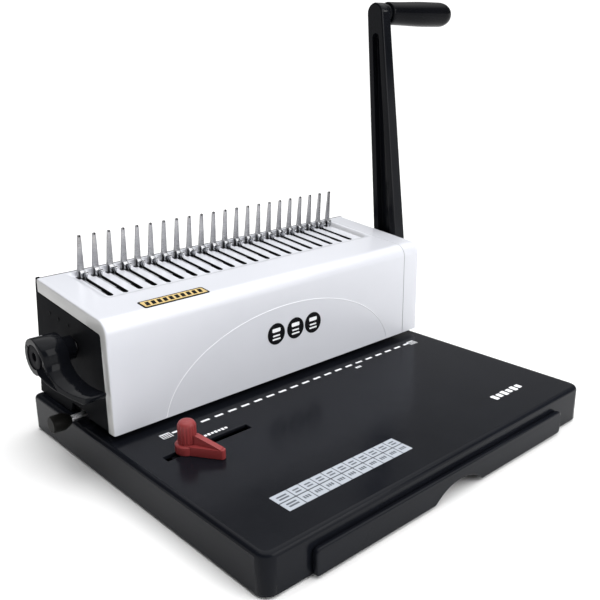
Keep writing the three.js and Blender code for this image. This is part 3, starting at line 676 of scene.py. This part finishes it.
def name_plate():
    """A gold foil strip with a black border and plain slanted bars, no writing."""
    middle, s, count, step = 36, -98, 10, 5.7
    bars("plate_border", [bar(middle, s, 63.5, 13.6, 1.6)], on_deck, 0.35, PRINT_BLACK)
    bars("plate_gold", [bar(middle, s, 60.4, 10.4, 1.0)], on_deck, 0.5, GOLD)
    slanted = ((-2.6, -3.4), (1.0, -3.4), (2.4, 3.4), (-1.2, 3.4))
    marks = []
    for k in range(count):
        x = middle + (k - (count - 1) / 2) * step
        marks.append([(x + a, s + b) for a, b in slanted])
    bars("plate_marks", marks, on_deck, 0.58, PRINT_BLACK)


def hole_marks():
    """A white dash in front of every hole with a comb sign at both ends, and short bars for captions."""
    first, y, wide, high = 9.5, 19.8, 8.5, 2.6
    split = 15  # this dash is printed as a row of short bars
    dashes = [bar(first + PITCH * k, y, wide, high, 0.25) for k in range(HOLES) if k != split]
    dashes += [bar(first + PITCH * split + d, y, 1.9, high, 0.2) for d in (-3.3, -1.1, 1.1, 3.3)]
    for x in (-1, 303):
        dashes.append(bar(x, 22.2, 9.6, 1.2, 0.2))
        dashes += [bar(x - 4.2 + 2.1 * k, 18.2, 0.85, 7.2, 0.2) for k in range(5)]
    bars("hole_marks", dashes, on_tray, PRINT_THICK, PRINT_WHITE)
    words = [bar(19 + 3.4 * k, -2.5, 2.3, 3.6 - 0.8 * (k % 2), 0.4) for k in range(8)]
    words += [bar(212 + 2.6 * k, 11.5, 1.9, 3.2, 0.4) for k in range(3)]
    bars("tray_captions", words, on_tray, PRINT_THICK, PRINT_WHITE)
    code = [bar(252 + 7.2 * k, -120, 4.9, 8.0 - 1.6 * (k % 2), 0.8) for k in range(6)]
    bars("tray_code", code, on_tray, PRINT_THICK, PRINT_WHITE)


def size_chart():
    """A pale sticker with a two-row table whose cells hold blank marks."""
    x0, x1, y0, y1 = 0.6, 128.0, -130.0, -108.0
    head, columns, row_offset, line_thick = 15.5, 10, 5.3, 0.2
    middle, row = (x0 + x1) / 2, (y0 + y1) / 2
    bars("chart_label", [bar(middle, row, x1 - x0, y1 - y0, 0.4)], on_tray, 0.14, STICKER)
    edges = [x0 + head + (x1 - x0 - head) * k / columns for k in range(columns + 1)]
    lines = [bar(x, row, 0.7, y1 - y0, 0.1) for x in edges[:-1]]
    lines.append(bar(middle, row, x1 - x0, 1.0, 0.1))
    bars("chart_lines", lines, on_tray, line_thick, STICKER_GREY)
    marks = []
    for y in (row - row_offset, row + row_offset):
        marks += [bar(x0 + 7.8, y + d, 9.0, 1.7, 0.3) for d in (-1.6, 1.6)]
        for a, b in zip(edges, edges[1:]):
            if y > row:
                marks += [bar((a + b) / 2, y + d, 5.6, 1.5, 0.3) for d in (-1.6, 1.6)]
            else:
                marks += [bar((a + b) / 2 + d, y, 1.5, 3.4, 0.3) for d in (-2.2, 0, 2.2)]
    bars("chart_marks", marks, on_tray, line_thick, STICKER_PALE)


# ---- base and drawer ----
def base_parts():
    """The tray with its bottom plate, drawer, rails, feet and die."""
    finish_piece(refined("tray", "base_tray", 0.35, 2, 45), TRAY_BLACK, "base")
    finish_piece(refined("bottom_plate", "base_bottom_plate", 0.2, 2), SIDE_BLACK, "base")
    finish_piece(refined("drawer_panel", "drawer_front", 0.35, 3, 45), TRAY_BLACK, "drawer")
    finish_piece(refined("drawer_box", "drawer_bin", 0.3, 2), SIDE_BLACK, "drawer")
    for side in ("left", "right"):
        rail = refined(f"rail_{side}", f"drawer_rail_{side}", 0.3, 2)
        finish_piece(rail, SIDE_BLACK, "base")
        for end in ("front", "rear"):
            foot = refined(f"rubber_foot_{end}_{side}", f"foot_{end}_{side}", 0.0)
            finish_piece(foot, RUBBER, "base")
    finish_piece(refined("die", "lower_die", 0.15, 2), ZINC, "base")


# ---- inside the housing ----
def inner_parts():
    """The punch drive, the hook drive and the springs, mostly out of sight."""
    nodes_of = {
        "base": ("punch_guide", "side_frame_left", "side_frame_right"),
        "punches": ("punch_bar",),
        "handle": ("punch_shaft", "punch_cam_left", "punch_cam_right"),
        "hooks": ("rack_arm_left", "rack_arm_right"),
        "opener": ("pinion_left", "pinion_right", "opener_shaft"),
        "margin_control": ("depth_stop_bar",),
    }
    for body, nodes in nodes_of.items():
        for node in nodes:
            finish_piece(refined(f"fine_{node}", node, 0.12, 1), ZINC, body)
    knob_shaft = refined("fine_margin_shaft", "margin_shaft", 0.3, 2)
    finish_piece(knob_shaft, NICKEL, "margin_control")
    for side in ("left", "right"):
        node = f"return_spring_{side}"
        coil = finish_piece(refined(f"coil_{side}", node, 0.0), SPRING_STEEL, "base")
        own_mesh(coil)


def side_covers():
    """The black left side cover with three small rivets, and the black back cover; the rivet heads carry
    painted shade.
    """
    finish_piece(refined("side_cover", "left_end_cover", 0.5, 3), COVER_BLACK, "base")
    finish_piece(refined("back_cover", "rear_cover", 0.6, 3), COVER_BLACK, "base")
    face = SHELL["x0"] + 0.55
    head = [(0, 0.0), (1.5, 0.0), (1.5, 0.35), (0.9, 0.6), (0, 0.35)]
    dots = []
    for y, z in ((133.6, 116.9), (118.0, 115.4), (100.8, 114.1)):
        dots.append(turned(f"dot_{z}", head, lambda u, v, d, y=y, z=z: at(face - d, y + u, z + v), 20))
    # painted shade: the rivet heads take the darkest black, standing in for the shade inside small holes
    finish_piece(joined("side_rivets", dots), LINING, "base")


def back_y(z):
    """The rear cover's outer face: two straight stretches with a bend between."""
    (y0, z0), (y1, z1), (y2, z2) = (171.9, 32.6), (163.9, 84.8), (157.1, 138.4)
    if z < z1:
        return y0 - (z - z0) / (z1 - z0) * (y0 - y1)
    return y1 - (z - z1) / (z2 - z1) * (y1 - y2)


def back_screws():
    """Cover screws on the back, each a domed head with a cross recess."""
    dome = [(0, 0), (3.4, 0), (3.3, 0.8), (2.4, 1.5), (0, 1.9)]
    long, wide, floor, over = 3.4, 0.7, 0.8, 3
    made = []
    for x in (-28, 148, 320):
        for z in (52, 104, 126):
            y = back_y(z)

            def place(u, v, d, x=x, y=y, z=z):
                return at(x + u, y + d, z + v)

            head = turned(f"screw_{x}_{z}", dome, place, 24)
            cross = [slab(f"cut_{w}", bar(0, 0, w, h, 0.1), floor, over, place)
                     for w, h in ((long, wide), (wide, long))]
            cut_away(head, cross)
            made.append(head)
    finish_piece(joined("back_screws", made), ZINC, "base")


# ---- fingers, hooks ----
def finger_outline(x):
    """A tapered finger with a round, notched tip; points (X, n)."""
    foot, neck, low, shoulder = 3.4, 1.8, -8.5, 32.0
    tip, r, past = 33.3, 1.7, 0.1
    notch = [(0.35, 34.5), (0.3, 33.1)]
    outline = [(x - foot, low), (x + foot, low), (x + foot, 0), (x + neck, shoulder)]
    outline += arc(x, tip, r, -past, math.pi * 0.38, 4)
    outline += [(x + w, n) for w, n in notch] + [(x - w, n) for w, n in notch[::-1]]
    outline += arc(x, tip, r, math.pi * 0.62, math.pi + past, 4)
    return outline + [(x - neck, shoulder), (x - foot, 0)]


def finger_row():
    """The row of upright fingers on their strip, with dark tips and a folded foot in front of each."""
    fold_s = -5.6
    bent = ((-3.9, -4.6), (-3.9, 1.2), (-2.4, 2.9), (-0.6, 2.9), (-0.1, 1.9), (-1.9, 1.5), (-2.8, 0.4),
            (-2.8, -4.6))
    fold = [(fold_s + a, n) for a, n in bent]
    made = []
    tips = []
    folds = []
    for i in range(HOLES + 1):
        x = i * PITCH
        plate = slab(f"finger_{i}", finger_outline(x), -6.1, -4.62, standing)
        made.append(soften(plate, 0.42))
        tip = slab(f"tip_{i}", oblong(x - 0.8, x + 0.8, 32.9, 34.6), -6.32, -4.4, standing)
        tips.append(soften(tip, 0.15, 2))
        spring = slab(f"fold_{i}", fold, x - 1.9, x + 3.0, sideways)
        folds.append(soften(spring, 0.18, 2))
    strip = oblong(-27.2, 302.7, FINGER_S - 1.4, FINGER_S + 1.4)
    made.append(slab("finger_strip", strip, -10.5, -7.7, on_deck))
    obj = joined("finger_row", made)
    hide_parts("finger_comb")
    finish_piece(obj, NICKEL, "base")
    finish_piece(joined("finger_tips", tips), TIP_STEEL, "base")
    finish_piece(joined("finger_folds", folds), HOOK_STEEL, "base")


def hook_row():
    """The sliding plate under the deck with one bent hook in every slot."""
    plate = slab("hook_plate", bar(147.5, -25.7, 307, 34.6, 1.0), -9.3, -7.8, on_deck)
    finish_piece(plate, PLATE_STEEL, "hooks")
    front, rear, low, bend = -10.9, -12.4, -8.3, 1.3
    hook = [(front, low), (front, 1.2)]
    hook += arc(-12.2, 0.9, bend, 0, math.pi / 2, 4)
    hook += [(-15.0, 2.2), (-15.4, 1.8), (-15.4, 1.0), (-12.8, 0.9), (rear, 0.4), (rear, low)]
    made = []
    for i in range(HOLES):
        x = i * PITCH + SLOT["dx"]
        stem = slab(f"hook_{i}", hook, x - 0.7, x + 2.0, sideways)
        made.append(soften(stem, 0.25, 2))
    obj = joined("hook_row", made)
    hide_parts("hook_comb")
    finish_piece(obj, HOOK_STEEL, "hooks")


# ---- levers, handle, knobs ----
def lever_parts():
    """The comb lever with the flat ring in its hub, its screw, and the depth knob."""
    finish_piece(refined("opener_lever", "comb_lever", 0.35, 3, 45), LEVER_BLACK, "opener")
    finish_piece(refined("opener_screw", "lever_screw", 0.2, 2), LEVER_BLACK, "opener")
    finish_piece(refined("depth_knob", "margin_knob", 0.4, 2, 40), KNOB_BROWN, "margin_control")
    low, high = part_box("lever_screw")
    middle = (low + high) / 2
    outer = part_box("comb_lever")[0].x

    def place(u, v, d):
        return Vector((outer + d * MM, middle.y + u * MM, middle.z + v * MM))

    profile = [(3.8, 1.75), (10.1, 1.75), (10.3, 1.6), (10.3, 1.0), (9.8, 0.8), (4.6, 0.8), (3.8, 1.0)]
    ring = turned("hub_disc", profile + profile[:1], place, 56)
    finish_piece(ring, DISC_GREY, "opener")


def grip_profile():
    """The grip from its collar to its round end; points (radius, distance)."""
    neck, widest, swell_from, swell, straight_to, length = 11.55, 12.97, 4, 58, 84, 99.95
    swell_steps, end_step, end_steps = 12, math.radians(10), 8
    profile = [(0, 0.2), (4.25, 0.2), (10.2, 0.0), (11.2, 0.6), (neck, 1.8)]
    for k in range(swell_steps + 1):
        t = k / swell_steps
        profile.append((neck + (widest - neck) * smooth(t), swell_from + swell * t))
    profile.append((widest, straight_to))
    for k in range(1, end_steps + 1):
        a = k * end_step
        profile.append((widest - 8.5 * (1 - math.cos(a)), straight_to + 15.9 * math.sin(a)))
    return profile + [(3.2, length), (0, length)]


def handle_parts():
    """The arm, the grip with its collar, and the screw in the arm's hub."""
    finish_piece(refined("punch_arm", "handle_arm", 0.3, 2, 45), LEVER_BLACK, "handle")
    finish_piece(refined("grip_collar", "grip_spindle", 0.3, 2), GRIP_BLACK, "handle")
    low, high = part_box("handle_grip")
    axis = (low + high) / 2

    def on_grip(u, v, d):
        return Vector((low.x + d * MM, axis.y + u * MM, axis.z + v * MM))

    grip = turned("handle_knob", grip_profile(), on_grip, 64)
    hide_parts("handle_grip")
    finish_piece(grip, GRIP_BLACK, "grip")
    shaft_low, shaft_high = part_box("punch_shaft")
    centre = (shaft_low + shaft_high) / 2
    face = Vector((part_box("handle_arm")[1].x, centre.y, centre.z))
    head = turned("hub_screw", [(0, -0.6), (7.5, -0.6), (7.5, -0.25), (6.6, 0.0), (0, 0.0)],
                  lambda u, v, d: face + Vector((d * MM, u * MM, v * MM)), 40)
    finish_piece(head, ZINC, "handle")


def ribbed_cap(name, low, high):
    """A domed cap with ribs round its side that run out over the dome."""
    centre = (low + high) / 2
    height = (high.z - low.z) / MM
    r, rib_deep, ribs, sides, dome = 7.45, 0.42, 18, 144, 5.5
    levels = [(0.97, 0), (1.0, 0.5), (1.0, height - dome)]
    for k in range(1, 8):
        a = math.radians(11 * k)
        levels.append((math.cos(a) ** 0.55, height - dome + 5.4 * math.sin(a)))
    rings = []
    for k, (share, z) in enumerate(levels):
        fade = 1.0 if k < 4 else max(0.0, 1 - (k - 3) / 3)
        ring = []
        for i in range(sides):
            a = 2 * math.pi * i / sides
            wave = rib_deep * fade * smooth(0.5 - 0.75 * math.cos(ribs * a))
            out = (r - wave) * share * MM
            ring.append(Vector((centre.x + out * math.cos(a), centre.y + out * math.sin(a), low.z + z * MM)))
        rings.append(ring)
    return prism(name, rings)


def guide_parts():
    """The side guide: a black slider, the red pointer and the red ribbed cap."""
    finish_piece(refined("gauge_slider", "guide_slider", 0.2, 2), SIDE_BLACK, "side_guide")
    finish_piece(refined("gauge_arm", "guide_arm", 0.7, 4), RED, "side_pointer")
    cap = ribbed_cap("gauge_cap", *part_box("guide_cap"))
    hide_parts("guide_cap")
    finish_piece(cap, RED, "side_clamp")


# ---- floor, light, camera ----
def plain(name, colour, rough):
    """Nearly even matt colour."""
    g = Graph(name)
    shade = g.ranged(g.noise(3, 3), 0.3, 0.7, 0, 1)
    darker = tuple(c * 0.985 for c in colour)
    g.link(g.blended(shade, colour, darker), g.shader.inputs["Base Color"])
    g.set(Roughness=rough)
    return g.mat


def sky():
    """Bright low and overhead, dim between and on the left, so that dark plastic keeps its depth."""
    world = bpy.data.worlds.new("studio")
    world.use_nodes = True
    nodes, links = world.node_tree.nodes, world.node_tree.links
    split = nodes.new("ShaderNodeSeparateXYZ")
    links.new(nodes.new("ShaderNodeTexCoord").outputs["Generated"], split.inputs[0])
    ramp = nodes.new("ShaderNodeValToRGB")
    links.new(split.outputs["Z"], ramp.inputs["Fac"])
    stops = ((0.0, 0.52), (0.08, 0.52), (0.13, 0.04), (0.52, 0.05), (0.74, 1.0), (1.0, 1.0))
    for k, (place, level) in enumerate(stops):
        stop = ramp.color_ramp.elements[k] if k < 2 else ramp.color_ramp.elements.new(place)
        stop.position = place
        stop.color = (level, level, level, 1)

    def faded(axis, start, end, to=1.0):
        """Rises from 0 at start to its full value at end, along one direction of the sky."""
        node = nodes.new("ShaderNodeMapRange")
        links.new(split.outputs[axis], node.inputs["Value"])
        node.inputs["From Min"].default_value = start
        node.inputs["From Max"].default_value = end
        node.inputs["To Max"].default_value = to
        return node.outputs["Result"]

    def product(one, other):
        """One value times the other."""
        node = nodes.new("ShaderNodeMath")
        node.operation = "MULTIPLY"
        links.new(one, node.inputs[0])
        links.new(other, node.inputs[1])
        return node.outputs[0]

    between = product(faded("Z", 0.1, 0.2), faded("Z", 0.9, 0.72))
    shade = product(between, faded("X", 0.05, -0.3, 0.92))
    dimmed = nodes.new("ShaderNodeMix")
    dimmed.data_type = "RGBA"
    links.new(shade, dimmed.inputs["Factor"])
    links.new(ramp.outputs["Color"], dimmed.inputs["A"])
    dimmed.inputs["B"].default_value = (0.03, 0.03, 0.03, 1)
    back = nodes["Background"]
    links.new(dimmed.outputs["Result"], back.inputs["Color"])
    back.inputs["Strength"].default_value = 2.3
    bpy.context.scene.world = world


def studio():
    """A pale floor under large soft lamps."""
    reach = 2.5
    bm = bmesh.new()
    bm.faces.new([bm.verts.new((x, y, 0)) for x, y in oblong(-reach, reach, -reach, reach)])
    floor = to_object("floor", bm)
    floor.data.materials.append(plain("floor_pale", (0.94, 0.94, 0.94), 0.7))
    sky()
    bpy.context.scene.view_settings.view_transform = "Standard"
    target = Vector((0, 0, 0.1))
    lamps = (  # name, place, width, height, watts
        ("key", (0.7, -2.2, 1.1), 1.6, 1.6, 34),
        ("strip", (0.95, -1.05, 1.05), 0.6, 0.16, 2),
        ("rear", (1.44, 0.91, 0.73), 1.1, 1.1, 1.4),
        ("top", (0.2, 0.2, 2.4), 2.4, 2.4, 12),
    )
    for name, place, wide, long, watts in lamps:
        light = bpy.data.lights.new(name, "AREA")
        light.shape = "RECTANGLE"
        light.size = wide
        light.size_y = long
        light.energy = watts
        obj = bpy.data.objects.new(name, light)
        obj.location = place
        obj.rotation_euler = (target - Vector(place)).to_track_quat("-Z", "Y").to_euler()
        bpy.context.scene.collection.objects.link(obj)


def camera():
    """Looks at the front left corner from above, a little rolled."""
    azimuth, elevation, roll = (math.radians(v) for v in (-41.9495, 17.9535, -0.5617))
    ca, sa, ce, se = math.cos(azimuth), math.sin(azimuth), math.cos(elevation), math.sin(elevation)
    back = Vector((sa * ce, -ca * ce, se))
    right = Vector((ca, sa, 0))
    up = back.cross(right)
    rolled_right = right * math.cos(roll) + up * math.sin(roll)
    rolled_up = up * math.cos(roll) - right * math.sin(roll)
    data = bpy.data.cameras.new("camera")
    data.lens = 47.054
    data.sensor_width = 36
    data.clip_start = 0.01
    obj = bpy.data.objects.new("camera", data)
    turn = Matrix((rolled_right, rolled_up, back)).transposed().to_4x4()
    obj.matrix_world = Matrix.Translation(at(-300.04, -476.81, 330.46)) @ turn
    bpy.context.scene.collection.objects.link(obj)
    bpy.context.scene.camera = obj


camera()
studio()
white_shell()
slot_linings()
slot_rails()
end_cap()
front_arc()
capacity_badges()
name_plate()
hole_marks()
size_chart()
base_parts()
inner_parts()
side_covers()
back_screws()
finger_row()
hook_row()
lever_parts()
handle_parts()
guide_parts()
